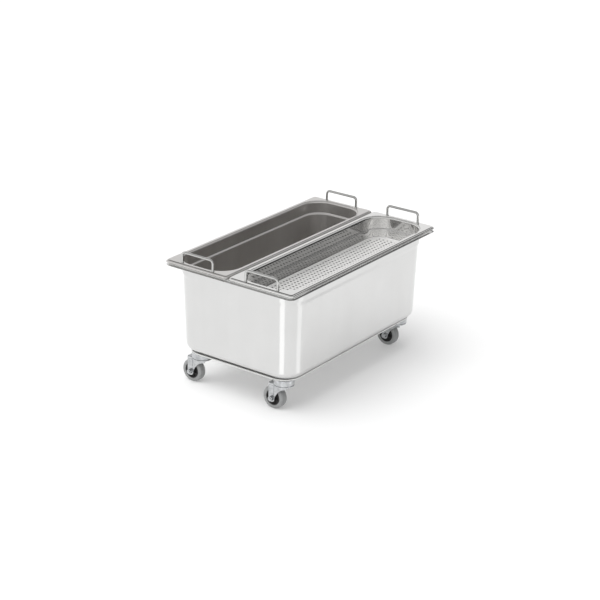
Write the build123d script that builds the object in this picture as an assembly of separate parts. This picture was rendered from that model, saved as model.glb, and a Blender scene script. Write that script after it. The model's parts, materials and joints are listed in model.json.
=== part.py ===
"""Rolling steam table unit: a deep tub on four swivel casters, with two lift-out pans side by side.

Millimetres. +X runs along the unit, +Y across it, +Z up. The origin is on the floor, under the
centre of the tub. The solid pan lies on the +Y side and the perforated pan on the -Y side.
"""
import os
from math import cos, hypot, pi, sin

from build123d import *

# ---------------------------------------------------------------- driving dimensions
RIM_TOP = 282.5            # top of the pan flanges above the floor

# tub
TUB_RIM_LENGTH = 530.0
TUB_RIM_WIDTH = 330.0
TUB_RIM_CORNER = 15.0
TUB_RIM_TOP = RIM_TOP - 4.8
TUB_RIM_DEPTH = 6.2        # height of the rolled edge
TUB_RIM_ROLL = 3.0
TUB_SHEET = 1.0
TUB_LENGTH = 496.8         # body below the shoulder
TUB_WIDTH = 304.6
TUB_CORNER = 50.5
SHOULDER_STEP = 2.8        # how far the upper band stands out from the body
SHOULDER_TOP = RIM_TOP - 29.0
SHOULDER_HEIGHT = 9.0
TUB_BOTTOM = RIM_TOP - 204.5
TUB_DRAFT = 6.0            # how far each wall leans in by the bottom
TUB_BOTTOM_RADIUS = 18.0

# base plate
PLATE_LENGTH = 472.0
PLATE_WIDTH = 274.0
PLATE_CORNER = 40.0
PLATE_THICK = 3.0
PLATE_EDGE_ROUND = 0.8

# pans
PAN_LENGTH = 528.0
PAN_WIDTH = 163.2
PAN_CORNER = 9.0
PAN_OFFSET = 82.2          # from the centre line to each pan's centre line
PAN_SHEET = 1.0
PAN_SKIRT = 4.6            # depth of the rolled flange edge
PAN_ROLL = 4.4
MOUTH_LENGTH = 497.0
MOUTH_WIDTH = 132.0
MOUTH_CORNER = 45.0
MOUTH_RADIUS = 4.5         # bend between flange and wall
LEDGE_TOP = 27.0           # depth of the stacking ledge
LEDGE_STEP = 3.0           # how far the ledge steps in
PAN_DRAFT = 0.035          # inward lean of the lower wall, per mm of depth
SOLID = {"depth": 150.0, "ledge_height": 3.0, "floor_radius": 8.0}
PERFORATED = {"depth": 50.0, "ledge_height": 1.2, "floor_radius": 4.0}
HOLE_DIAMETER = 4.4
HOLE_PITCH_X = 10.0
HOLE_PITCH_Y = 10.5

# handles
WIRE = 5.4
HANDLE_WIDTH = 80.0        # between leg centres
HANDLE_RISE = 23.2         # wire centre above the flange
HANDLE_BEND = 7.5
HANDLE_FROM_CENTRE = 255.5
HANDLE_TAIL = 3.5          # how far the legs pass below the flange's top face
WELD_RADIUS = 3.5
WELD_HEIGHT = 1.4

# casters
SWIVEL_X = 210.0
SWIVEL_Y = 107.6
TRAIL = 22.0               # wheel axle behind the swivel axis, towards +Y
WHEEL_DIAMETER = 50.0
WHEEL_WIDTH = 18.0
TYRE_INNER = 17.0
TYRE_ROUND = 4.5
HUB_BOSS_RADIUS = 7.0
HUB_BOSS_LENGTH = 21.0
HUB_RECESS = 2.5
HUB_RIM = 2.2              # ring left standing outside the recess
FORK_GAP = 22.0
FORK_SHEET = 2.0
FORK_ARM_RADIUS = 7.5
FORK_BEND = 3.0            # outside bend radius between the crown and each arm
PAD_RADIUS = 5.6           # pressed-out strip that runs up each arm from the axle
PAD_RISE = 0.7
PAD_TOP = 54.0
CROWN_TOP = 59.5
CROWN_NOSE = 16.0          # front edge of the arms, ahead of the swivel axis
ARM_NOSE_LOW = 53.0        # where the arm's curved front edge starts, above the floor
ARM_WAIST = (6.0, 41.0)    # middle of that curve: behind the swivel axis, above the floor
ARM_TANGENT = 2.0          # how far below the axle the curve meets the round end
CUP_RADIUS = 22.0
CUP_SHEET = 2.0
CUP_ROUND = 3.0
CUP_BOTTOM = 61.0
SEAT_INSET = 0.6           # ball seat on the crown, in from the cup's wall
CROWN_INSET = 0.5          # round of the crown, in from the cup's outside
BALL_RADIUS = 2.4
BALL_RING = 15.5
BALL_COUNT = 16
KINGPIN_RADIUS = 6.0
KINGPIN_HEAD = 9.0
KINGPIN_HEAD_HEIGHT = 2.5
STUD_RADIUS = 4.0
STUD_LENGTH = 31.0
AXLE_RADIUS = 3.0
AXLE_HEX_FLATS = 10.0
AXLE_HEAD_HEIGHT = 4.0
AXLE_NUT_HEIGHT = 5.0
AXLE_TIP = 1.2             # thread that stands out of the nut
LOCK_NUT_FLATS = 13.0
LOCK_NUT_HEIGHT = 6.0
HEX_CHAMFER = 0.5
HEX_CHAMFER_IN = 0.8       # how far the turned-down corners reach in
SLEEVE_RADIUS = 4.0
RUNNING = 0.06             # radial running clearance
SEAT_GAP = 0.1             # clearance under heads and balls
CUT = 1.0                  # how far cutting tools pass through
LEVEL = 0.01               # how close to a height an edge must lie to be picked

PLATE_TOP = TUB_BOTTOM
PLATE_UNDER = PLATE_TOP - PLATE_THICK
AXLE_HEIGHT = WHEEL_DIAMETER / 2
BALL_HEIGHT = PLATE_UNDER - CUP_SHEET - BALL_RADIUS - SEAT_GAP
CROWN_UNDER = CROWN_TOP - FORK_SHEET
FORK_FACE = FORK_GAP / 2 + FORK_SHEET
PAD_FACE = FORK_FACE + PAD_RISE
HUB_WIDTH = WHEEL_WIDTH - 1.0
CORNERS = {
    "front_left": (-SWIVEL_X, SWIVEL_Y),
    "front_right": (-SWIVEL_X, -SWIVEL_Y),
    "rear_left": (SWIVEL_X, SWIVEL_Y),
    "rear_right": (SWIVEL_X, -SWIVEL_Y),
}


# ---------------------------------------------------------------- building blocks
def slab(length, width, corner, low, high, grow=0.0):
    """Upright block with a rounded-rectangle outline."""
    outline = RectangleRounded(length + 2 * grow, width + 2 * grow, corner + grow)
    return Pos(0, 0, low) * extrude(outline, amount=high - low)


def tapered(length, width, corner, low, high, step, corner_step):
    """Block whose outline shrinks by step on every side from its top to its bottom."""
    top = Pos(0, 0, high) * RectangleRounded(length, width, corner)
    bottom = Pos(0, 0, low) * RectangleRounded(length - 2 * step, width - 2 * step, corner - corner_step)
    return loft([bottom, top], ruled=True)


def disc(radius, low, high, x=0.0, y=0.0):
    return Pos(x, y, low) * extrude(Circle(radius), amount=high - low)


def edges_at(shape, height):
    return shape.edges().filter_by_position(Axis.Z, height - LEVEL, height + LEVEL)


def rolled_flange(length, width, corner, top, depth, roll, sheet):
    """Flat flange with a rounded, turned-down outer edge, open underneath."""
    outer = slab(length, width, corner, top - depth, top)
    outer = fillet(edges_at(outer, top), roll)
    inner = slab(length, width, corner, top - depth, top - sheet, grow=-sheet)
    inner = fillet(edges_at(inner, top - sheet), roll - sheet)
    return outer - inner


def vessel(size, corner, top, ledge_top, ledge_height, step, bottom, lean, round_off, grow):
    """Filled vessel shape, grown outwards by grow: a straight band, a step in, then leaning walls
    down to a rounded bottom."""
    length, width = (side + 2 * grow for side in size)
    corner += grow
    ledge_top -= grow * (hypot(step, ledge_height) - ledge_height) / step
    ledge_low = ledge_top - ledge_height
    band = slab(length, width, corner, ledge_top, top)
    ledge = tapered(length, width, corner, ledge_low, ledge_top, step, step)
    lower = tapered(length - 2 * step, width - 2 * step, corner - step, bottom, ledge_low, lean, lean / 2)
    lower = fillet(edges_at(lower, bottom), round_off + grow)
    return band + ledge + lower


# ---------------------------------------------------------------- tub and base plate
def make_tub():
    def body(grow, top, bottom):
        size = (TUB_LENGTH + 2 * SHOULDER_STEP, TUB_WIDTH + 2 * SHOULDER_STEP)
        return vessel(size, TUB_CORNER + SHOULDER_STEP, top, SHOULDER_TOP, SHOULDER_HEIGHT,
                      SHOULDER_STEP, bottom, TUB_DRAFT, TUB_BOTTOM_RADIUS, grow)

    flange = rolled_flange(TUB_RIM_LENGTH, TUB_RIM_WIDTH, TUB_RIM_CORNER, TUB_RIM_TOP,
                           TUB_RIM_DEPTH, TUB_RIM_ROLL, TUB_SHEET)
    shell = flange + body(0.0, TUB_RIM_TOP - TUB_SHEET / 2, TUB_BOTTOM)
    return shell - body(-TUB_SHEET, TUB_RIM_TOP + TUB_SHEET, TUB_BOTTOM + TUB_SHEET)


def make_base_plate():
    plate = slab(PLATE_LENGTH, PLATE_WIDTH, PLATE_CORNER, PLATE_UNDER, PLATE_TOP)
    plate = fillet(edges_at(plate, PLATE_UNDER), PLATE_EDGE_ROUND)
    for x, y in CORNERS.values():
        plate -= disc(STUD_RADIUS, PLATE_UNDER, PLATE_TOP, x, y)
    return plate


# ---------------------------------------------------------------- pans and handles
def handle_feet():
    return [(end * HANDLE_FROM_CENTRE, side * HANDLE_WIDTH / 2) for end in (-1, 1) for side in (-1, 1)]


def make_pan(centre_y, depth, ledge_height, floor_radius):
    bottom = RIM_TOP - depth
    lean = PAN_DRAFT * (depth - LEDGE_TOP - ledge_height)

    def body(grow, top, low):
        return vessel((MOUTH_LENGTH, MOUTH_WIDTH), MOUTH_CORNER, top, RIM_TOP - LEDGE_TOP, ledge_height,
                      LEDGE_STEP, low, lean, floor_radius, grow)

    def mouth_edges(shape, height):
        half_length, half_width = MOUTH_LENGTH / 2 + 2 * PAN_SHEET, MOUTH_WIDTH / 2 + 2 * PAN_SHEET
        return [edge for edge in edges_at(shape, height)
                if abs(edge.center().X) < half_length and abs(edge.center().Y) < half_width]

    pan = rolled_flange(PAN_LENGTH, PAN_WIDTH, PAN_CORNER, RIM_TOP, PAN_SKIRT, PAN_ROLL, PAN_SHEET)
    pan = pan + body(PAN_SHEET, RIM_TOP - PAN_SHEET / 2, bottom)
    pan = fillet(mouth_edges(pan, RIM_TOP - PAN_SHEET), MOUTH_RADIUS - PAN_SHEET)
    pan = pan - body(0.0, RIM_TOP, bottom + PAN_SHEET)
    pan = fillet(mouth_edges(pan, RIM_TOP), MOUTH_RADIUS)
    for x, y in handle_feet():
        pan -= disc(WIRE / 2, RIM_TOP - 2 * PAN_SHEET, RIM_TOP + PAN_SHEET, x, y)
    return Pos(0, centre_y, 0) * pan


def perforate(pan, centre_y, depth, ledge_height, floor_radius):
    """Square grid of round holes over the flat of the floor, left out where its corners round off."""
    floor = RIM_TOP - depth + PAN_SHEET / 2
    lean = PAN_DRAFT * (depth - LEDGE_TOP - ledge_height)
    inset = LEDGE_STEP + lean + floor_radius
    half_length = MOUTH_LENGTH / 2 - inset
    half_width = MOUTH_WIDTH / 2 - inset
    corner = MOUTH_CORNER - LEDGE_STEP - lean / 2 - floor_radius
    columns = int((half_length - HOLE_DIAMETER / 2) / HOLE_PITCH_X)
    rows = int((half_width - HOLE_DIAMETER / 2) / HOLE_PITCH_Y)
    punches = []
    for column in range(-columns, columns + 1):
        for row in range(-rows, rows + 1):
            x, y = column * HOLE_PITCH_X, row * HOLE_PITCH_Y
            past_x = max(abs(x) - (half_length - corner), 0.0)
            past_y = max(abs(y) - (half_width - corner), 0.0)
            if hypot(past_x, past_y) <= corner - HOLE_DIAMETER / 2:
                punches.append(Pos(x, y + centre_y, floor) * Cylinder(HOLE_DIAMETER / 2, 3 * PAN_SHEET))
    return pan - punches, len(punches)


def make_handle(end, centre_y):
    """Wire bow standing on the end flange, with a weld bead at each foot."""
    x = end * HANDLE_FROM_CENTRE
    half = HANDLE_WIDTH / 2
    low, high = RIM_TOP - HANDLE_TAIL, RIM_TOP + HANDLE_RISE
    path = FilletPolyline((x, centre_y - half, low), (x, centre_y - half, high),
                          (x, centre_y + half, high), (x, centre_y + half, low), radius=HANDLE_BEND)
    section = Plane(origin=(x, centre_y - half, low), z_dir=(0, 0, 1)) * Circle(WIRE / 2)
    wire = sweep(section, path=path)
    for side in (-1, 1):
        wire += Pos(x, centre_y + side * half, RIM_TOP + WELD_HEIGHT / 2) * Cone(
            WELD_RADIUS, WIRE / 2, WELD_HEIGHT)
    return wire


# ---------------------------------------------------------------- casters
def make_stud(x, y):
    return disc(STUD_RADIUS, PLATE_TOP - STUD_LENGTH, PLATE_TOP, x, y)


def hexagon(across_flats, thick):
    """Hexagonal nut or bolt head standing on the origin, with its corners turned down at both ends."""
    half = across_flats / 2
    prism = extrude(RegularPolygon(half, 6, major_radius=False), amount=thick)
    turned = Pos(0, 0, thick / 2) * Cylinder(half / cos(pi / 6), thick)
    turned = chamfer(turned.edges().filter_by(GeomType.CIRCLE), HEX_CHAMFER, HEX_CHAMFER_IN)
    return prism & turned


def make_lock_nut(x, y):
    top = CROWN_UNDER - SEAT_GAP - KINGPIN_HEAD_HEIGHT
    nut = Pos(x, y, top - LOCK_NUT_HEIGHT) * hexagon(LOCK_NUT_FLATS, LOCK_NUT_HEIGHT)
    return nut - disc(STUD_RADIUS, top - LOCK_NUT_HEIGHT - CUT, top + CUT, x, y)


def make_swivel_cup(x, y):
    """Pressed cup under the base plate that holds the ball ring."""
    cup = disc(CUP_RADIUS, CUP_BOTTOM, PLATE_UNDER)
    cup = fillet(edges_at(cup, PLATE_UNDER), CUP_ROUND)
    cup -= disc(CUP_RADIUS - CUP_SHEET, CUP_BOTTOM, PLATE_UNDER - CUP_SHEET)
    cup -= disc(KINGPIN_RADIUS, CUP_BOTTOM, PLATE_UNDER)
    return Pos(x, y, 0) * cup


def make_kingpin(x, y):
    """Hollow rivet: it is fast in the cup and its head holds the fork's crown up against the balls."""
    head_top = CROWN_UNDER - SEAT_GAP
    pin = disc(KINGPIN_RADIUS, head_top, PLATE_UNDER)
    pin += disc(KINGPIN_HEAD, head_top - KINGPIN_HEAD_HEIGHT, head_top)
    pin -= disc(STUD_RADIUS, head_top - KINGPIN_HEAD_HEIGHT - CUT, PLATE_UNDER + CUT)
    return Pos(x, y, 0) * pin


def make_balls(x, y):
    balls = []
    for index in range(BALL_COUNT):
        angle = 2 * pi * index / BALL_COUNT
        spot = (x + BALL_RING * cos(angle), y + BALL_RING * sin(angle), BALL_HEIGHT)
        balls.append(Pos(*spot) * Sphere(BALL_RADIUS))
    return Compound(children=balls)


def make_fork(x, y):
    """Pressed fork: a crown with a raised ball seat, and two arms that trail to the axle."""
    arm_back = TRAIL + FORK_ARM_RADIUS
    arm_front = TRAIL - FORK_ARM_RADIUS
    curve_end = (arm_front, AXLE_HEIGHT - ARM_TANGENT)
    outline = Polyline((arm_back, CROWN_TOP), (arm_back, AXLE_HEIGHT))
    outline += RadiusArc((arm_back, AXLE_HEIGHT), curve_end, hypot(FORK_ARM_RADIUS, ARM_TANGENT / 2))
    outline += ThreePointArc(curve_end, ARM_WAIST, (-CROWN_NOSE, ARM_NOSE_LOW))
    outline += Polyline((-CROWN_NOSE, ARM_NOSE_LOW), (-CROWN_NOSE, CROWN_TOP), (arm_back, CROWN_TOP))
    block = extrude(make_face(Plane.YZ * outline), amount=FORK_FACE, both=True)
    block = fillet(edges_at(block, CROWN_TOP).filter_by(Axis.Y), FORK_BEND)
    inside = Pos(0, 0, CROWN_UNDER / 2) * Box(FORK_GAP, 4 * arm_back, CROWN_UNDER)
    inside = fillet(edges_at(inside, CROWN_UNDER).filter_by(Axis.Y), FORK_BEND - FORK_SHEET)
    block -= inside
    pad = Pos(0, TRAIL, AXLE_HEIGHT) * Rot(0, 90, 0) * Cylinder(PAD_RADIUS, 2 * PAD_FACE)
    pad += Pos(0, TRAIL, (AXLE_HEIGHT + PAD_TOP) / 2) * Box(
        2 * PAD_FACE, 2 * PAD_RADIUS, PAD_TOP - AXLE_HEIGHT)
    block += pad - Box(2 * FORK_FACE - CUT, 4 * arm_back, 4 * CROWN_TOP)
    block = block + disc(CUP_RADIUS - CROWN_INSET, CROWN_UNDER, CROWN_TOP)
    block += disc(CUP_RADIUS - CUP_SHEET - SEAT_INSET, CROWN_TOP, BALL_HEIGHT - BALL_RADIUS - SEAT_GAP)
    block -= disc(KINGPIN_RADIUS + RUNNING, CROWN_UNDER - CUT, BALL_HEIGHT)
    block -= Pos(0, TRAIL, AXLE_HEIGHT) * Rot(0, 90, 0) * Cylinder(AXLE_RADIUS, 4 * FORK_FACE)
    return Pos(x, y, 0) * block


def on_axle(x, y, shape):
    """Move a shape made along +Z to the wheel's axle, which lies along X."""
    return Pos(x, y + TRAIL, AXLE_HEIGHT) * Rot(0, 90, 0) * shape


def make_axle_bolt(x, y):
    """Hexagon bolt with its head on the +X side and its threaded end out of the nut on the -X side."""
    length = 2 * PAD_FACE + AXLE_NUT_HEIGHT + AXLE_TIP
    shank = Pos(0, 0, PAD_FACE - length / 2) * Cylinder(AXLE_RADIUS, length)
    shank = chamfer(shank.edges().sort_by(Axis.Z)[0], HEX_CHAMFER)
    return on_axle(x, y, shank + Pos(0, 0, PAD_FACE) * hexagon(AXLE_HEX_FLATS, AXLE_HEAD_HEIGHT))


def make_axle_nut(x, y):
    nut = Pos(0, 0, -PAD_FACE - AXLE_NUT_HEIGHT) * hexagon(AXLE_HEX_FLATS, AXLE_NUT_HEIGHT)
    return on_axle(x, y, nut - Cylinder(AXLE_RADIUS, 4 * PAD_FACE))


def make_axle_sleeve(x, y):
    return on_axle(x, y, Cylinder(SLEEVE_RADIUS, FORK_GAP) - Cylinder(AXLE_RADIUS, FORK_GAP))


def make_wheel_hub(x, y):
    hub = Cylinder(TYRE_INNER, HUB_WIDTH)
    for face in (-1, 1):
        groove = Cylinder(TYRE_INNER - HUB_RIM, HUB_RECESS) - Cylinder(HUB_BOSS_RADIUS, HUB_RECESS)
        hub -= Pos(0, 0, face * (HUB_WIDTH - HUB_RECESS) / 2) * groove
    hub += Cylinder(HUB_BOSS_RADIUS, HUB_BOSS_LENGTH)
    return on_axle(x, y, hub - Cylinder(SLEEVE_RADIUS + RUNNING, 2 * HUB_BOSS_LENGTH))


def make_tyre(x, y):
    tyre = Cylinder(WHEEL_DIAMETER / 2, WHEEL_WIDTH)
    tyre = fillet(tyre.edges().filter_by(GeomType.CIRCLE), TYRE_ROUND)
    return on_axle(x, y, tyre - Cylinder(TYRE_INNER, WHEEL_WIDTH))


# ---------------------------------------------------------------- write the parts
def build():
    nodes = {"tub": make_tub(), "base_plate": make_base_plate()}
    nodes["solid_pan"] = make_pan(PAN_OFFSET, **SOLID)
    shallow = make_pan(-PAN_OFFSET, **PERFORATED)
    nodes["perforated_pan"], holes = perforate(shallow, -PAN_OFFSET, **PERFORATED)
    print("holes in the perforated floor:", holes)
    for pan, centre_y in (("solid_pan", PAN_OFFSET), ("perforated_pan", -PAN_OFFSET)):
        nodes[pan + "_front_handle"] = make_handle(-1, centre_y)
        nodes[pan + "_rear_handle"] = make_handle(1, centre_y)
    makers = {
        "mounting_stud": make_stud, "lock_nut": make_lock_nut, "swivel_cup": make_swivel_cup,
        "kingpin": make_kingpin, "swivel_balls": make_balls, "fork": make_fork,
        "axle_bolt": make_axle_bolt, "axle_nut": make_axle_nut, "axle_sleeve": make_axle_sleeve,
        "wheel_hub": make_wheel_hub, "tyre": make_tyre,
    }
    for corner, (x, y) in CORNERS.items():
        for piece, maker in makers.items():
            nodes[corner + "_" + piece] = maker(x, y)
    return nodes


os.makedirs("parts", exist_ok=True)
for name, shape in build().items():
    export_step(shape, "parts/" + name + ".step")
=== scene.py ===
"""Looks for the rolling steam table unit: drawn steel shells, wire handles, casters and studio."""
import json
from math import cos, hypot, pi, radians, sin, tan

import bmesh
import bpy
from mathutils import Matrix, Vector
from mathutils.geometry import delaunay_2d_cdt


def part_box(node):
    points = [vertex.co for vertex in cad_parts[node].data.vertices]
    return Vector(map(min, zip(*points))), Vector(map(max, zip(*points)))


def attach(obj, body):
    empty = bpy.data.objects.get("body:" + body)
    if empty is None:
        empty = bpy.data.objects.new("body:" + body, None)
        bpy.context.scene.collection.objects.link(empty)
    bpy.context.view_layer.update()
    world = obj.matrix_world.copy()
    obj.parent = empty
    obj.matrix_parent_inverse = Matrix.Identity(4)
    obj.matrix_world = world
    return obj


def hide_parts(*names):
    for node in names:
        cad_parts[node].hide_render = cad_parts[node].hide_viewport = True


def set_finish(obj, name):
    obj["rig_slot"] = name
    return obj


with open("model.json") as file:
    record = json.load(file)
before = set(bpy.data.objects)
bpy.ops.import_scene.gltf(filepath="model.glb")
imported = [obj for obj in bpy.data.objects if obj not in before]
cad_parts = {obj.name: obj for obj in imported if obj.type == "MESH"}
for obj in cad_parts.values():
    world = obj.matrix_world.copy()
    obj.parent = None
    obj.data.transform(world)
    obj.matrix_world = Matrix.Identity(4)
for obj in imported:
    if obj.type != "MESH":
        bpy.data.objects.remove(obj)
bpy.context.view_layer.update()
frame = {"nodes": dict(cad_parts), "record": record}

MM = 0.001
CORNERS = ("front_left", "front_right", "rear_left", "rear_right")
PANS = ("solid_pan", "perforated_pan")

# ---------------------------------------------------------------- sizes, in millimetres
ARC_STEPS = 14             # segments round each corner of an outline
LONG_STEPS = 14            # segments along an outline's long sides
SHORT_STEPS = 6
CREASE = 38.0              # degrees between faces, past which an edge is shaded sharp
JOIN_GAP = 1e-4            # points closer than this become one
SHEET = 1.0                # steel thickness

PAN_ROLL = 4.4             # radius of the flange's rolled edge
PAN_SKIRT = 4.6            # height of that edge
PAN_RIM_CORNER = 9.0
MOUTH_FLANGE = 15.5        # flange width between the mouth and the outer edge
MOUTH_CORNER = 45.0
MOUTH_BEND = 4.5
SEAM = 0.6                 # short flat between a bend and the ring where two stretches meet
MOUTH_SEAM = 0.4           # the same beside the mouth
LEDGE_TOP = 27.0           # below the flange
LEDGE_STEP = 3.0
LEDGE_HEIGHT = {"solid_pan": 3.0, "perforated_pan": 1.2}
FLOOR_RADIUS = {"solid_pan": 8.0, "perforated_pan": 4.0}
LEDGE_BEND = 1.3
PAN_LEAN = 0.035           # how far the wall below the ledge steps in, per unit of its height
HOLE_RADIUS = 2.2
HOLE_PITCH_X = 10.0
HOLE_PITCH_Y = 10.5
HOLE_STEPS = 16
HOLE_EDGE = 0.25           # rolled-over edge round each punched hole

TUB_RIM_CORNER = 15.0
TUB_RIM_ROLL = 3.0
TUB_RIM_DEPTH = 6.2
TUB_BAND_CORNER = 53.3
TUB_BAND_INSET = (13.8, 9.9)    # rim overhang past the upper band, along X and Y
TUB_SHOULDER = 2.8         # step in below the upper band
TUB_SHOULDER_TOP = 29.0    # below the pans' flanges
TUB_SHOULDER_HEIGHT = 9.0
TUB_DRAFT = 6.0            # step in of the wall between the shoulder and the floor
TUB_FLOOR_RADIUS = 18.0
TUB_FLOOR_SEAM = 1.0       # the same on the tub's floor
TUB_SHOULDER_BEND = 2.0
TUB_MOUTH_BEND = 1.2

WIRE_RADIUS = 2.7
WIRE_STEPS = 20
HANDLE_BEND = 7.5
WELD_RADIUS = 3.5
WELD_HEIGHT = 1.4
WELD_SINK = 0.2            # how far a bead reaches into the wire
WELD_SPREAD = 1.3          # power that gives the bead its hollow flank
WELD_STEPS = 28

TYRE_SEAT_RADIUS = 17.0
TYRE_LIP = (1.6, 0.6)      # slope from the seat up to the side, outwards and along the axle
TYRE_BENDS = (0.3, 0.8, 4.2)            # at the seat, at the side and at the tread's shoulder
TYRE_STEPS = 96

HUB_BORE_RADIUS = 4.06
HUB_BOSS_RADIUS = (6.6, 7.1)            # at its end and at its foot
HUB_DISH_RADIUS = (13.6, 14.4)          # at the dish's floor and at its edge
HUB_RIM_RADIUS = 16.95
HUB_FACE = 8.5             # from the wheel's middle to the rim's side
HUB_DISH_DEPTH = (3.4, 3.0)             # at the boss and at the rim
HUB_BENDS = (0.4, 0.8, 0.8, 0.5, 0.5)   # from the boss out to the rim
HUB_STEPS = 72
RIB_COUNT = 8              # on each side of the hub
RIB_SIZE = (7.2, 1.1, 2.4)
RIB_RADIUS = 10.4          # axle to the rib's middle
RIB_BEVEL = 0.25

# ---------------------------------------------------------------- looks
STREAK_SHARE = 0.6         # fine streaks in a sheet's tone, the rest being slow clouds
CLOUD_SCALE = 7.0          # clouds per metre
# zones of the holed pan, in millimetres above its floor, but below its flange for FLANGE_BAND
SATIN_TOP = (0.8, 2.2)     # the floor's satin finish gives way to the mirror wall
FLANGE_BAND = (4.0, 2.0)   # the wall's painted shade gives way to the flange's own tone
HOLE_WALL_LOW = (-0.98, -0.90)
HOLE_WALL_TOP = (-0.15, -0.02)
HOLE_WALL_SHADE = 0.15      # painted shade on the sheared wall of each hole, against the sheet's own tone
WALL_END = (195.0, 225.0)  # along the pan, where the long walls turn into the rounded ends and their painted shade fades out

# studio: brightness of the surroundings by sine of elevation, and by how far round to the dark side
WORLD_BY_HEIGHT = ((0.0, 1.0), (0.30, 0.92), (0.50, 0.82), (0.72, 0.52), (1.0, 0.40))
WORLD_BY_SIDE = ((0.35, 0.0), (0.72, 0.90))
DARK_BELOW = ((0.42, 1.0), (0.60, 0.0))         # how high the dark side reaches
DARK_SIDE = (0.81, -0.585, 0.0)                 # direction of its middle
WORLD_STRENGTH = 1.0
KEY_STRENGTH = 2.35
FLOOR_TONE = 0.70
FLOOR_GLOW = 0.22          # light from the table itself, which keeps the shadows pale
GLINTS = ((198.0, 22.0, 1.42), (281.0, 22.0, 1.25))     # azimuth, spread and level of each floor wedge
GLINT_CENTRE = (-0.198, -0.102)                         # axis of the tub's front right corner, metres
GLINT_REACH = (0.15, 0.70)
KEY_TOWARDS = (-0.30, 0.14, 0.94)
KEY_SPREAD = 60.0          # degrees
FLOOR_REACH = 60.0         # metres
CARD_LIFT = 0.001          # keeps the wedges off the floor, metres

# camera: degrees for the angles, metres for the rest, millimetres for the lens
CAMERA_AZIMUTH = -54.18
CAMERA_ELEVATION = 22.078
CAMERA_ROLL = 1.131
CAMERA_AIM = 0.2845        # height on the unit's axis of the point that the distance is measured from
CAMERA_DISTANCE = 3.692
CAMERA_SHIFT = (0.00862, 0.1246)        # how far that point lies right of and above the picture's middle
CAMERA_LENS = 104.44


# ---------------------------------------------------------------- outlines and profiles
def outline(half_x, half_y, corner, centre=(0.0, 0.0)):
    """Rounded rectangle, counter-clockwise, with the same number of points at any size."""
    points = []
    for quarter in range(4):
        sx = 1 if quarter in (0, 3) else -1
        sy = 1 if quarter in (0, 1) else -1
        cx, cy = sx * (half_x - corner), sy * (half_y - corner)
        for step in range(ARC_STEPS + 1):
            angle = (quarter + step / ARC_STEPS) * pi / 2
            points.append((cx + corner * cos(angle), cy + corner * sin(angle)))
        if quarter in (0, 2):       # the next straight side runs along X
            ends = ((cx, cy + sy * corner), (-cx, cy + sy * corner))
            steps = LONG_STEPS
        else:
            ends = ((cx + sx * corner, cy), (cx + sx * corner, -cy))
            steps = SHORT_STEPS
        for step in range(1, steps):
            t = step / steps
            points.append(tuple(a + (b - a) * t for a, b in zip(*ends)))
    return [(x + centre[0], y + centre[1]) for x, y in points]


def rounded(points, radii, steps=6):
    """Open polyline of (offset, z) points with the corners between them rounded to the given radii."""
    out = [points[0]]
    for before, here, after, radius in zip(points, points[1:], points[2:], radii):
        back, ahead = Vector(before) - Vector(here), Vector(after) - Vector(here)
        limit = 0.98 * min(back.length, ahead.length)
        back, ahead = back / back.length, ahead / ahead.length
        turn = back.angle(ahead)
        if radius <= 0 or turn > radians(179.5):
            out.append(here)
            continue
        reach = min(radius / tan(turn / 2), limit)
        radius = reach * tan(turn / 2)
        centre = Vector(here) + (back + ahead).normalized() * (radius / sin(turn / 2))
        start = Vector(here) + back * reach - centre
        sweep = pi - turn
        sign = 1 if start.x * ahead.y - start.y * ahead.x > 0 else -1
        for step in range(steps + 1):
            angle = sign * sweep * step / steps
            out.append((centre.x + start.x * cos(angle) - start.y * sin(angle),
                        centre.y + start.x * sin(angle) + start.y * cos(angle)))
    out.append(points[-1])
    return out


# ---------------------------------------------------------------- mesh building
def new_object(name, bm):
    """Put a finished bmesh into the scene as an object."""
    mesh = bpy.data.meshes.new(name)
    bm.to_mesh(mesh)
    bm.free()
    made = bpy.data.objects.new(name, mesh)
    bpy.context.scene.collection.objects.link(made)
    return made


def finish_mesh(bm, name, body):
    """Scale from millimetres, shade smooth with sharp creases kept, and ride on the body."""
    bmesh.ops.recalc_face_normals(bm, faces=bm.faces)
    bmesh.ops.scale(bm, vec=(MM, MM, MM), verts=bm.verts)
    piece = new_object(name, bm)
    piece.data.shade_smooth()
    piece.data.set_sharp_from_angle(angle=radians(CREASE))
    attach(piece, body)
    return piece


def loft_rings(bm, rings):
    """Quads between consecutive rings of equal length. Rings are lists of vertices."""
    for low, high in zip(rings, rings[1:]):
        for i in range(len(low)):
            j = (i + 1) % len(low)
            bm.faces.new((low[i], low[j], high[j], high[i]))


def flat_cap(bm, ring, holes=(), spots=(), radius=0.0):
    """Triangulated flat face inside a ring of vertices, with round holes left open at the spots."""
    verts = list(ring) + [v for hole in holes for v in hole]
    edges, start = [], 0
    for loop in [ring, *holes]:
        count = len(loop)
        edges += [(start + i, start + (i + 1) % count) for i in range(count)]
        start += count
    flat = [v.co.xy for v in verts]
    points, _, faces, source, _, _ = delaunay_2d_cdt(flat, edges, [], 1, 1e-5)
    inside = 0.97 * radius      # a triangle that fills a hole has its centre nearer than this
    rows = {}
    for x, y in spots:
        rows.setdefault(y, []).append(x)
    for face in faces:
        centre = sum((points[i] for i in face), Vector((0, 0))) / len(face)
        if any(hypot(centre.x - x, centre.y - y) < inside
               for y, row in rows.items() if abs(centre.y - y) < radius
               for x in row if abs(centre.x - x) < radius):
            continue
        bm.faces.new([verts[source[i][0]] for i in face])


def ring_at(bm, points, z):
    """Ring of vertices at height z."""
    return [bm.verts.new((x, y, z)) for x, y in points]


def lathe(bm, profile, steps, place):
    """Turn (radius, height) points about Z, move them to place and join those that coincide."""
    turns = [2 * pi * i / steps for i in range(steps)]
    loft_rings(bm, [[bm.verts.new(place @ Vector((radius * cos(a), radius * sin(a), height)))
                     for a in turns] for radius, height in profile])
    bmesh.ops.remove_doubles(bm, verts=bm.verts, dist=JOIN_GAP)


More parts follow.
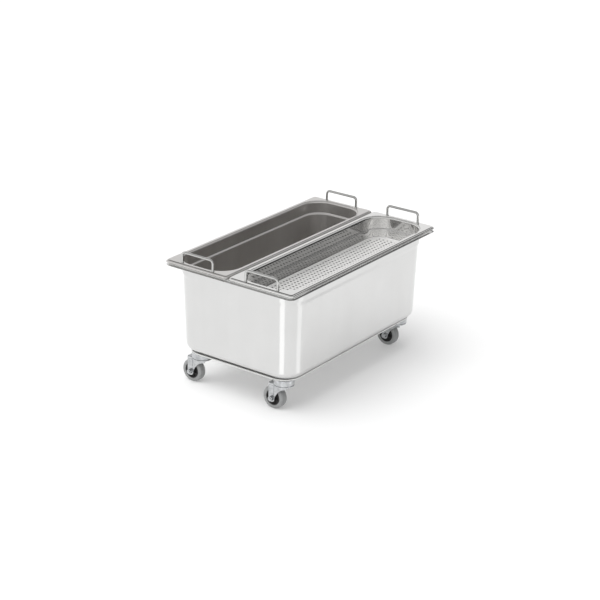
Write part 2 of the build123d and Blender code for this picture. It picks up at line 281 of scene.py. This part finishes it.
def tube(bm, path, radius, steps):
    """Round tube along a path of points, with flat ends."""
    rings = []
    across = None
    for i, point in enumerate(path):
        ahead = (path[min(i + 1, len(path) - 1)] - path[max(i - 1, 0)]).normalized()
        if across is None:
            across = ahead.orthogonal().normalized()
        across = (across - ahead * across.dot(ahead)).normalized()
        other = ahead.cross(across)
        rings.append([bm.verts.new(point + radius * (across * cos(2 * pi * k / steps)
                                                     + other * sin(2 * pi * k / steps)))
                      for k in range(steps)])
    loft_rings(bm, rings)
    bm.faces.new(rings[0])
    bm.faces.new(rings[-1])


def box_mm(node):
    """Lowest and highest corner of a CAD node, in millimetres."""
    low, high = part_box(node)
    return low / MM, high / MM


# ---------------------------------------------------------------- pans
def pan_profiles(node, depth):
    """The pan's closed section as rings: ('mouth', offset, z) from the mouth line, ('rim', inset, z)
    from the outer edge. z is measured from the top of the flange."""
    ledge_height = LEDGE_HEIGHT[node]
    floor_radius = FLOOR_RADIUS[node]
    lean = PAN_LEAN * (depth - LEDGE_TOP - ledge_height)
    drop = (hypot(LEDGE_STEP, ledge_height) - ledge_height) / LEDGE_STEP

    def wall(t):
        """Wall surface from the floor to the flange, moved out by t."""
        foot = -LEDGE_STEP - lean + t
        floor = -depth + SHEET - t
        ledge = -LEDGE_TOP - drop * t
        points = [(foot - floor_radius - SEAM, floor), (foot, floor),
                  (-LEDGE_STEP + t, ledge - ledge_height), (t, ledge), (t, -t),
                  (MOUTH_BEND + MOUTH_SEAM, -t)]
        return rounded(points, [floor_radius + t, LEDGE_BEND, LEDGE_BEND, MOUTH_BEND - t])

    def edge(t):
        """Rolled edge from the flange down to the skirt's bottom, moved in by t."""
        points = [(PAN_ROLL + SEAM, -t), (t, -t), (t, -PAN_SKIRT)]
        return rounded(points, [PAN_ROLL - t], steps=8)

    inner = [("mouth", d, z) for d, z in wall(0.0)] + [("rim", e, z) for e, z in edge(0.0)]
    outer = [("mouth", d, z) for d, z in wall(SHEET)] + [("rim", e, z) for e, z in edge(SHEET)]
    return inner, outer, lean


def hole_spots(half_x, half_y, corner):
    """Square grid of hole centres over a rounded rectangle."""
    spots = []
    columns = int((half_x - HOLE_RADIUS) / HOLE_PITCH_X)
    rows = int((half_y - HOLE_RADIUS) / HOLE_PITCH_Y)
    for column in range(-columns, columns + 1):
        for row in range(-rows, rows + 1):
            x, y = column * HOLE_PITCH_X, row * HOLE_PITCH_Y
            past_x = max(abs(x) - (half_x - corner), 0.0)
            past_y = max(abs(y) - (half_y - corner), 0.0)
            if hypot(past_x, past_y) <= corner - HOLE_RADIUS:
                spots.append((x, y))
    return spots


def build_pan(node, perforated):
    """Half-width pan of one sheet with a rolled edge and a stacking ledge, holed if perforated."""
    low, high = box_mm(node)
    centre = ((low.x + high.x) / 2, (low.y + high.y) / 2)
    half = ((high.x - low.x) / 2, (high.y - low.y) / 2)
    top, depth = high.z, high.z - low.z
    bm = bmesh.new()

    def make_ring(kind, value, z):
        """Ring that follows the mouth, moved out by value, or the rim, moved in by it."""
        if kind == "mouth":
            size = [h - MOUTH_FLANGE + value for h in half]
            corner = MOUTH_CORNER + value
        else:
            size = [h - value for h in half]
            corner = PAN_RIM_CORNER - value
        return ring_at(bm, outline(*size, corner, centre), top + z)

    inner, outer, lean = pan_profiles(node, depth)
    rings_in = [make_ring(*p) for p in inner]
    rings_out = [make_ring(*p) for p in outer]
    loft_rings(bm, rings_in)
    loft_rings(bm, rings_out)
    loft_rings(bm, [rings_in[-1], rings_out[-1]])
    holes_in, holes_out, spots = [], [], []
    if perforated:
        inset = MOUTH_FLANGE + LEDGE_STEP + lean + FLOOR_RADIUS[node]
        corner = MOUTH_CORNER - LEDGE_STEP - lean / 2 - FLOOR_RADIUS[node]
        spots = [(x + centre[0], y + centre[1])
                 for x, y in hole_spots(half[0] - inset, half[1] - inset, corner)]
        top_z, low_z = rings_in[0][0].co.z, rings_out[0][0].co.z
        levels = ((HOLE_RADIUS + HOLE_EDGE, top_z),
                  (HOLE_RADIUS + 0.25 * HOLE_EDGE, top_z - 0.3 * HOLE_EDGE),
                  (HOLE_RADIUS, top_z - HOLE_EDGE), (HOLE_RADIUS, low_z))
        turns = [2 * pi * k / HOLE_STEPS for k in range(HOLE_STEPS)]
        for x, y in spots:
            rings = [ring_at(bm, [(x + radius * cos(a), y + radius * sin(a)) for a in turns], z)
                     for radius, z in levels]
            loft_rings(bm, rings)
            holes_in.append(rings[0])
            holes_out.append(rings[-1])
    flat_cap(bm, rings_in[0], holes_in, spots, HOLE_RADIUS + HOLE_EDGE)
    flat_cap(bm, rings_out[0], holes_out, spots, HOLE_RADIUS)
    piece = finish_mesh(bm, node + "_shell", node)
    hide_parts(node)
    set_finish(piece, node + "_steel")
    return piece


# ---------------------------------------------------------------- tub
def build_tub():
    """Deep outer shell with a rolled rim, an upper band, a shoulder and a rounded bottom."""
    low, high = box_mm("tub")
    half = (high.x, high.y)
    top, depth = high.z, high.z - low.z
    pan_top = box_mm("solid_pan")[1].z
    shoulder = pan_top - TUB_SHOULDER_TOP - top
    bm = bmesh.new()

    def body(t):
        """Wall surface from the floor up to the flange, moved in by t."""
        foot = -TUB_SHOULDER - TUB_DRAFT - t
        floor = -depth + t
        points = [(foot - TUB_FLOOR_RADIUS - TUB_FLOOR_SEAM, floor), (foot, floor),
                  (-TUB_SHOULDER - t, shoulder - TUB_SHOULDER_HEIGHT), (-t, shoulder),
                  (-t, -SHEET + t), (2 * TUB_MOUTH_BEND, -SHEET + t)]
        bends = [TUB_FLOOR_RADIUS - t, TUB_SHOULDER_BEND, TUB_SHOULDER_BEND, TUB_MOUTH_BEND + t]
        return rounded(points, bends, steps=8)

    def edge(t):
        """Rolled rim from the flange down to its lower edge, moved in by t."""
        points = [(TUB_RIM_ROLL + SEAM, -t), (t, -t), (t, -TUB_RIM_DEPTH)]
        return rounded(points, [TUB_RIM_ROLL - t], steps=8)

    def make_ring(kind, value, z):
        """Ring that follows the upper band, moved out by value, or the rim, moved in by it."""
        if kind == "body":
            size = [h - inset + value for h, inset in zip(half, TUB_BAND_INSET)]
            corner = TUB_BAND_CORNER + value
        else:
            size = [h - value for h in half]
            corner = TUB_RIM_CORNER - value
        return ring_at(bm, outline(*size, corner), top + z)

    def make_rings(body_in, edge_in):
        """One side of the sheet, from the middle of the floor to the lower edge of the rim."""
        return ([make_ring("body", offset, z) for offset, z in body(body_in)]
                + [make_ring("rim", inset, z) for inset, z in edge(edge_in)])

    rings_out = make_rings(0.0, SHEET)
    rings_in = make_rings(SHEET, 0.0)
    loft_rings(bm, rings_out)
    loft_rings(bm, rings_in)
    loft_rings(bm, [rings_in[-1], rings_out[-1]])
    flat_cap(bm, rings_in[0])
    flat_cap(bm, rings_out[0])
    piece = finish_mesh(bm, "tub_shell", "trolley")
    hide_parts("tub")
    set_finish(piece, "tub_steel")
    return piece


# ---------------------------------------------------------------- handles
def build_handle(node, body):
    """Wire bow with a weld bead round each foot."""
    low, high = box_mm(node)
    x = (low.x + high.x) / 2
    flange = box_mm(body)[1].z
    y_low, y_high = low.y + WELD_RADIUS, high.y - WELD_RADIUS
    top = high.z - WIRE_RADIUS
    flat = rounded([(y_low, low.z), (y_low, top), (y_high, top), (y_high, low.z)],
                   [HANDLE_BEND, HANDLE_BEND], steps=10)
    path = [Vector((x, y, z)) for y, z in flat]
    bm = bmesh.new()
    tube(bm, path, WIRE_RADIUS, WIRE_STEPS)
    wire = finish_mesh(bm, node + "_wire", body)
    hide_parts(node)
    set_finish(wire, "handle_wire")
    flank = [(WIRE_RADIUS + (WELD_RADIUS - WIRE_RADIUS) * sin(t * pi / 12) ** WELD_SPREAD,
              WELD_HEIGHT * cos(t * pi / 12) ** WELD_SPREAD) for t in range(7)]
    inner = WIRE_RADIUS - WELD_SINK
    bead = [(inner, WELD_HEIGHT), *flank, (inner, 0.0), (inner, WELD_HEIGHT)]
    bm = bmesh.new()
    for y in (y_low, y_high):
        lathe(bm, bead, WELD_STEPS, Matrix.Translation((x, y, flange)))
    weld = finish_mesh(bm, node + "_welds", body)
    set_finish(weld, "handle_wire")
    return wire, weld


# ---------------------------------------------------------------- wheels
def axle_place(node):
    """Turns +Z onto the wheel's axle, which lies along X, at the centre of the node's box."""
    low, high = box_mm(node)
    return Matrix.Translation((low + high) / 2) @ Matrix.Rotation(pi / 2, 4, "Y")


def mirrored(side):
    """Whole profile of a wheel part from the half on one side of its middle."""
    return side + [(radius, -along) for radius, along in reversed(side[:-1])]


def build_tyre(corner):
    """Grey tread ring with rounded shoulders."""
    node = corner + "_tyre"
    low, high = box_mm(node)
    radius, half = (high.z - low.z) / 2, (high.x - low.x) / 2
    lip_out, lip_along = TYRE_LIP
    side = rounded([(TYRE_SEAT_RADIUS, 0), (TYRE_SEAT_RADIUS, half - lip_along),
                    (TYRE_SEAT_RADIUS + lip_out, half), (radius, half), (radius, 0)],
                   TYRE_BENDS, steps=8)
    bm = bmesh.new()
    lathe(bm, mirrored(side), TYRE_STEPS, axle_place(node))
    piece = finish_mesh(bm, node + "_rubber", corner + "_wheel")
    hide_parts(node)
    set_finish(piece, "tyre_rubber")
    return piece


def build_hub(corner):
    """Black moulded wheel centre: a rim ring, a dished web with ribs, and a boss round the bush."""
    node = corner + "_wheel_hub"
    low, high = box_mm(node)
    half = (high.x - low.x) / 2
    place = axle_place(corner + "_tyre")
    side = rounded([(HUB_BORE_RADIUS, half), (HUB_BOSS_RADIUS[0], half),
                    (HUB_BOSS_RADIUS[1], HUB_FACE - HUB_DISH_DEPTH[0]),
                    (HUB_DISH_RADIUS[0], HUB_FACE - HUB_DISH_DEPTH[1]), (HUB_DISH_RADIUS[1], HUB_FACE),
                    (HUB_RIM_RADIUS, HUB_FACE), (HUB_RIM_RADIUS, 0)],
                   HUB_BENDS, steps=4)
    bore = (HUB_BORE_RADIUS, 0.0)
    bm = bmesh.new()
    lathe(bm, [bore, *mirrored(side), bore], HUB_STEPS, place)
    for way in (-1, 1):
        for index in range(RIB_COUNT):
            turn = Matrix.Rotation(2 * pi * (index + 0.5) / RIB_COUNT, 4, "Z")
            out = Matrix.Translation((RIB_RADIUS, 0, way * (HUB_FACE - RIB_SIZE[2])))
            made = bmesh.ops.create_cube(bm, size=1.0,
                                         matrix=place @ turn @ out @ Matrix.Diagonal((*RIB_SIZE, 1)))
            edges = {e for v in made["verts"] for e in v.link_edges}
            bmesh.ops.bevel(bm, geom=list(edges), offset=RIB_BEVEL, segments=2, affect="EDGES")
    piece = finish_mesh(bm, node + "_moulding", corner + "_wheel")
    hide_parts(node)
    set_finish(piece, "hub_plastic")
    return piece


# ---------------------------------------------------------------- materials
class Nodes:
    """Short way to add and link shader nodes."""

    def __init__(self, name):
        self.material = bpy.data.materials.new(name)
        self.material.use_nodes = True
        self.tree = self.material.node_tree
        self.shader = self.tree.nodes["Principled BSDF"]

    def add(self, kind, **settings):
        """New shader node with the given settings."""
        node = self.tree.nodes.new(kind)
        for key, value in settings.items():
            setattr(node, key, value)
        return node

    def link(self, source, target):
        self.tree.links.new(source, target)

    def stretched(self, scale):
        """Object coordinates, scaled along each axis."""
        where = self.add("ShaderNodeTexCoord")
        mapping = self.add("ShaderNodeMapping")
        mapping.inputs["Scale"].default_value = scale
        self.link(where.outputs["Object"], mapping.inputs["Vector"])
        return mapping.outputs["Vector"]

    def noise(self, scale, size=1.0, detail=4.0, rough=0.55):
        """Noise with size cells to the metre, over coordinates stretched by scale."""
        node = self.add("ShaderNodeTexNoise")
        node.inputs["Scale"].default_value = size
        node.inputs["Detail"].default_value = detail
        node.inputs["Roughness"].default_value = rough
        self.link(self.stretched(scale), node.inputs["Vector"])
        return node.outputs["Fac"]

    def spread(self, source, low, high, start=0.3, end=0.7):
        """Source between start and end, mapped on to low and high."""
        node = self.add("ShaderNodeMapRange")
        for key, value in (("From Min", start), ("From Max", end), ("To Min", low), ("To Max", high)):
            node.inputs[key].default_value = value
        self.link(source, node.inputs["Value"])
        return node.outputs["Result"]

    def mix(self, factor, blend):
        """Colour mix driven by factor: its two colour inputs and its output."""
        node = self.add("ShaderNodeMix", data_type="RGBA", blend_type=blend)
        self.link(factor, node.inputs["Factor"])
        first, second = [s for s in node.inputs if s.type == "RGBA"]
        return first, second, [s for s in node.outputs if s.type == "RGBA"][0]

    def tint(self, source, dark, light):
        """Colour between dark and light."""
        first, second, result = self.mix(source, "MIX")
        first.default_value = (*dark, 1)
        second.default_value = (*light, 1)
        return result

    def dimmed(self, colour, mask, tone):
        """Colour multiplied down to tone where the mask is 1: painted shade."""
        first, second, result = self.mix(mask, "MULTIPLY")
        self.link(colour, first)
        second.default_value = (tone, tone, tone, 1)
        return result

    def math(self, operation, first, second=None):
        """Math node with one or two linked inputs."""
        node = self.add("ShaderNodeMath", operation=operation)
        self.link(first, node.inputs[0])
        if second is not None:
            self.link(second, node.inputs[1])
        return node.outputs[0]

    def bump(self, source, strength, distance):
        """Normal that follows the source's relief."""
        node = self.add("ShaderNodeBump")
        node.inputs["Strength"].default_value = strength
        node.inputs["Distance"].default_value = distance
        self.link(source, node.inputs["Height"])
        return node.outputs["Normal"]


def bowl_zones(nodes, colour, roughness, floor, rim, painted_wall_shade, floor_rough, floor_metal):
    """Zones of a holed pan by height: painted shade that leaves the long mirror walls deeper in tone
    than the flange, a satin floor and painted shade on the hole walls. floor and rim are heights,
    floor_rough is added roughness."""
    split = nodes.add("ShaderNodeSeparateXYZ")
    nodes.link(nodes.stretched((1, 1, 1)), split.inputs[0])
    height = split.outputs["Z"]

    def step(low, high, start, end):
        """Goes from low to high between two heights given in millimetres above the floor."""
        return nodes.spread(height, low, high, floor + start * MM, floor + end * MM)

    along = nodes.math("ABSOLUTE", split.outputs["X"])
    long_walls = nodes.spread(along, 1.0, 0.0, *(end * MM for end in WALL_END))
    below = nodes.spread(height, 1.0, 0.0, *(rim - drop * MM for drop in FLANGE_BAND))
    walls = nodes.math("MULTIPLY", step(0.0, 1.0, *SATIN_TOP), below)
    # painted shade: the long walls' colour between the satin floor and the flange is multiplied down
    colour = nodes.dimmed(colour, nodes.math("MULTIPLY", walls, long_walls), painted_wall_shade)
    # painted shade in the holes: the wall of each hole is multiplied down to a dark tone
    holes = nodes.math("MULTIPLY", step(0.0, 1.0, *HOLE_WALL_LOW), step(1.0, 0.0, *HOLE_WALL_TOP))
    colour = nodes.dimmed(colour, holes, HOLE_WALL_SHADE)
    roughness = nodes.math("ADD", roughness, step(floor_rough, 0.0, *SATIN_TOP))
    nodes.link(step(floor_metal, 1.0, *SATIN_TOP), nodes.shader.inputs["Metallic"])
    return colour, roughness


def steel(name, dark, light, rough, streaks, bowl=None, metal=1.0):
    """Drawn stainless sheet: streaks run along the draw in tone and roughness, over slow cloudy
    changes. bowl names the values that bowl_zones needs, for the pan with the holed floor."""
    nodes = Nodes(name)
    nodes.shader.inputs["Metallic"].default_value = metal
    fine = nodes.noise(streaks, 1.0, detail=3.0)
    slow = nodes.noise((1, 1, 1), CLOUD_SCALE, detail=2.0)
    mixed = nodes.add("ShaderNodeMath", operation="MULTIPLY_ADD")
    nodes.link(fine, mixed.inputs[0])
    mixed.inputs[1].default_value = STREAK_SHARE
    nodes.link(nodes.spread(slow, 0.0, 1.0 - STREAK_SHARE), mixed.inputs[2])
    colour = nodes.tint(nodes.spread(mixed.outputs[0], 0, 1, 0.15, 0.85), dark, light)
    roughness = nodes.spread(mixed.outputs[0], *rough, 0.1, 0.9)
    if bowl:
        colour, roughness = bowl_zones(nodes, colour, roughness, **bowl)
    nodes.link(colour, nodes.shader.inputs["Base Color"])
    nodes.link(roughness, nodes.shader.inputs["Roughness"])
    return nodes.material


def zinc(name, dark, light, rough):
    """Bright zinc plating: cloudy tone, soft sheen and a faint orange-peel."""
    nodes = Nodes(name)
    nodes.shader.inputs["Metallic"].default_value = 1.0
    cloud = nodes.noise((1, 1, 1), 120.0, detail=5.0, rough=0.6)
    tone = nodes.tint(nodes.spread(cloud, 0, 1), dark, light)
    nodes.link(tone, nodes.shader.inputs["Base Color"])
    nodes.link(nodes.spread(cloud, *rough), nodes.shader.inputs["Roughness"])
    peel = nodes.noise((1, 1, 1), 900.0, detail=2.0)
    nodes.link(nodes.bump(peel, 0.25, 0.05 * MM), nodes.shader.inputs["Normal"])
    return nodes.material


def moulded(name, dark, light, rough, grain_size, depth):
    """Moulded rubber or plastic: fine surface grain, scuffs in tone and roughness."""
    nodes = Nodes(name)
    nodes.shader.inputs["Specular IOR Level"].default_value = 0.4
    scuff = nodes.noise((1, 1, 1), 70.0, detail=5.0, rough=0.65)
    tone = nodes.tint(nodes.spread(scuff, 0, 1), dark, light)
    nodes.link(tone, nodes.shader.inputs["Base Color"])
    nodes.link(nodes.spread(scuff, *rough), nodes.shader.inputs["Roughness"])
    grain = nodes.noise((1, 1, 1), grain_size, detail=3.0)
    nodes.link(nodes.bump(grain, 0.35, depth * MM), nodes.shader.inputs["Normal"])
    return nodes.material


def make_materials():
    """Every material slot's material, by name."""
    low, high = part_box("perforated_pan")
    # the 0.42 below is painted shade on the holed pan's long walls
    bowl = {"floor": low.z + SHEET * MM, "rim": high.z,
            "painted_wall_shade": 0.42, "floor_rough": 0.36, "floor_metal": 0.25}
    return {
        "tub_steel": steel("tub_steel", (0.64, 0.64, 0.635), (0.70, 0.70, 0.695),
                           (0.10, 0.17), (30, 30, 2)),
        "base_plate_steel": steel("base_plate_steel", (0.60, 0.60, 0.59), (0.70, 0.70, 0.69),
                                  (0.30, 0.44), (30, 300, 300), metal=0.6),
        "solid_pan_steel": steel("solid_pan_steel", (0.62, 0.605, 0.59), (0.73, 0.715, 0.70),
                                 (0.27, 0.34), (30, 30, 2), metal=0.92),
        "perforated_pan_steel": steel("perforated_pan_steel", (0.75, 0.745, 0.735), (0.82, 0.815, 0.805),
                                      (0.04, 0.08), (25, 60, 60), bowl),
        "handle_wire": steel("handle_wire", (0.50, 0.50, 0.49), (0.60, 0.60, 0.59),
                             (0.10, 0.18), (150, 150, 150)),
        "zinc_sheet": zinc("zinc_sheet", (0.38, 0.39, 0.40), (0.62, 0.63, 0.64), (0.12, 0.24)),
        "zinc_hardware": zinc("zinc_hardware", (0.42, 0.43, 0.44), (0.60, 0.61, 0.62), (0.16, 0.28)),
        "bearing_steel": zinc("bearing_steel", (0.50, 0.50, 0.51), (0.60, 0.60, 0.61), (0.10, 0.18)),
        "hub_plastic": moulded("hub_plastic", (0.010, 0.010, 0.010), (0.022, 0.022, 0.022),
                               (0.38, 0.55), 1600.0, 0.03),
        "tyre_rubber": moulded("tyre_rubber", (0.27, 0.275, 0.275), (0.33, 0.335, 0.335),
                               (0.55, 0.75), 1200.0, 0.05),
    }


def paint(materials, made):
    """Give every piece and every CAD node its own slot's material."""
    slots = {s["node"]: s["material_slot"] for s in frame["record"]["subparts"]}
    for name, node in frame["nodes"].items():
        node.data.materials.clear()
        node.data.materials.append(materials[slots[name]])
    for piece in made:
        piece.data.materials.append(materials[piece["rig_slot"]])


# ---------------------------------------------------------------- studio
def make_camera():
    """Long lens, looking down at 22 degrees onto the front right corner."""
    azimuth, elevation, roll = radians(CAMERA_AZIMUTH), radians(CAMERA_ELEVATION), radians(CAMERA_ROLL)
    back = Vector((sin(azimuth) * cos(elevation), -cos(azimuth) * cos(elevation), sin(elevation)))
    right = Vector((cos(azimuth), sin(azimuth), 0))
    up = back.cross(right)
    turned_right = cos(roll) * right + sin(roll) * up
    turned_up = -sin(roll) * right + cos(roll) * up
    camera = bpy.data.objects.new("camera", bpy.data.cameras.new("camera"))
    bpy.context.scene.collection.objects.link(camera)
    shift = CAMERA_SHIFT[0] * turned_right + CAMERA_SHIFT[1] * turned_up
    place = Vector((0, 0, CAMERA_AIM)) - shift + CAMERA_DISTANCE * back
    turn = Matrix((turned_right, turned_up, back)).transposed().to_4x4()
    camera.matrix_world = Matrix.Translation(place) @ turn
    camera.data.sensor_width = 36.0
    camera.data.lens = CAMERA_LENS
    bpy.context.scene.camera = camera


def make_world():
    """Studio surroundings: a pale sweep all round, a dark side at the rear right, a dim ceiling."""
    world = bpy.data.worlds.new("studio")
    bpy.context.scene.world = world
    world.use_nodes = True
    tree = world.node_tree

    def ramp(source, stops):
        """Brightness that follows the source through (place, level) stops."""
        node = tree.nodes.new("ShaderNodeValToRGB")
        node.color_ramp.interpolation = "EASE"
        while len(node.color_ramp.elements) < len(stops):
            node.color_ramp.elements.new(0.5)
        for element, (place, level) in zip(node.color_ramp.elements, stops):
            element.position = place
            element.color = (level, level, level, 1)
        tree.links.new(source, node.inputs[0])
        return node.outputs[0]

    def math(operation, first, second):
        """Math node; a plain number is set on its socket, anything else is linked."""
        node = tree.nodes.new("ShaderNodeMath")
        node.operation = operation
        for source, socket in zip((first, second), node.inputs):
            if isinstance(source, float):
                socket.default_value = source
            else:
                tree.links.new(source, socket)
        return node.outputs[0]

    where = tree.nodes.new("ShaderNodeTexCoord").outputs["Generated"]
    split = tree.nodes.new("ShaderNodeSeparateXYZ")
    tree.links.new(where, split.inputs[0])
    height = ramp(split.outputs["Z"], WORLD_BY_HEIGHT)
    low = ramp(split.outputs["Z"], DARK_BELOW)
    across = tree.nodes.new("ShaderNodeVectorMath")
    across.operation = "DOT_PRODUCT"
    tree.links.new(where, across.inputs[0])
    across.inputs[1].default_value = DARK_SIDE
    side = ramp(across.outputs["Value"], WORLD_BY_SIDE)
    keep = math("SUBTRACT", 1.0, math("MULTIPLY", side, low))
    background = tree.nodes["Background"]
    tree.links.new(math("MULTIPLY", height, keep), background.inputs["Color"])
    background.inputs["Strength"].default_value = WORLD_STRENGTH


def make_key_light():
    """Broad sun lamp that lights surfaces but never shows as a reflection."""
    light = bpy.data.lights.new("key_light", "SUN")
    light.angle = radians(KEY_SPREAD)
    light.energy = KEY_STRENGTH
    lamp = bpy.data.objects.new("key_light", light)
    bpy.context.scene.collection.objects.link(lamp)
    lamp.rotation_euler = Vector(KEY_TOWARDS).to_track_quat("Z", "Y").to_euler()
    lamp.visible_glossy = False


def glowing_card(name, spots, tone, glow):
    """Flat four-cornered stage piece with a grey tone and a white glow of its own."""
    bm = bmesh.new()
    bm.faces.new([bm.verts.new(spot) for spot in spots])
    card = new_object(name, bm)
    nodes = Nodes(name)
    nodes.shader.inputs["Base Color"].default_value = (tone, tone, tone, 1)
    nodes.shader.inputs["Emission Color"].default_value = (1, 1, 1, 1)
    nodes.shader.inputs["Emission Strength"].default_value = glow
    card.data.materials.append(nodes.material)
    return card, nodes.shader


def make_floor():
    """Pale matt table, far wider than any view."""
    spots = [(x * FLOOR_REACH, y * FLOOR_REACH, 0) for x, y in ((-1, -1), (1, -1), (1, 1), (-1, 1))]
    shader = glowing_card("floor", spots, FLOOR_TONE, FLOOR_GLOW)[1]
    shader.inputs["Roughness"].default_value = 0.9
    shader.inputs["Specular IOR Level"].default_value = 0.0


def make_glint(name, azimuth, spread, level):
    """Bright wedge lying on the floor, out from the tub's near corner. It only shows in reflections,
    as an upright highlight on that corner."""
    near, far = GLINT_REACH
    spots = []
    for reach, side in ((near, -1), (far, -1), (far, 1), (near, 1)):
        angle = radians(azimuth + side * spread / 2)
        spots.append((GLINT_CENTRE[0] + reach * cos(angle), GLINT_CENTRE[1] + reach * sin(angle),
                      CARD_LIFT))
    card = glowing_card(name, spots, 0.0, level)[0]
    card.visible_camera = False
    card.visible_diffuse = False
    card.visible_shadow = False


def make_studio():
    """Floor, surroundings, lamp and the two wedges."""
    make_floor()
    make_world()
    make_key_light()
    for index, (azimuth, spread, level) in enumerate(GLINTS):
        make_glint(f"glint_{index + 1}", azimuth, spread, level)
    bpy.context.scene.view_settings.view_transform = "Standard"


# ---------------------------------------------------------------- the scene
make_camera()
pieces = [build_tub()]
for pan in PANS:
    pieces.append(build_pan(pan, perforated=(pan == "perforated_pan")))
    for end in ("front", "rear"):
        pieces += build_handle(f"{pan}_{end}_handle", pan)
for corner in CORNERS:
    pieces += [build_tyre(corner), build_hub(corner)]
paint(make_materials(), pieces)
make_studio()
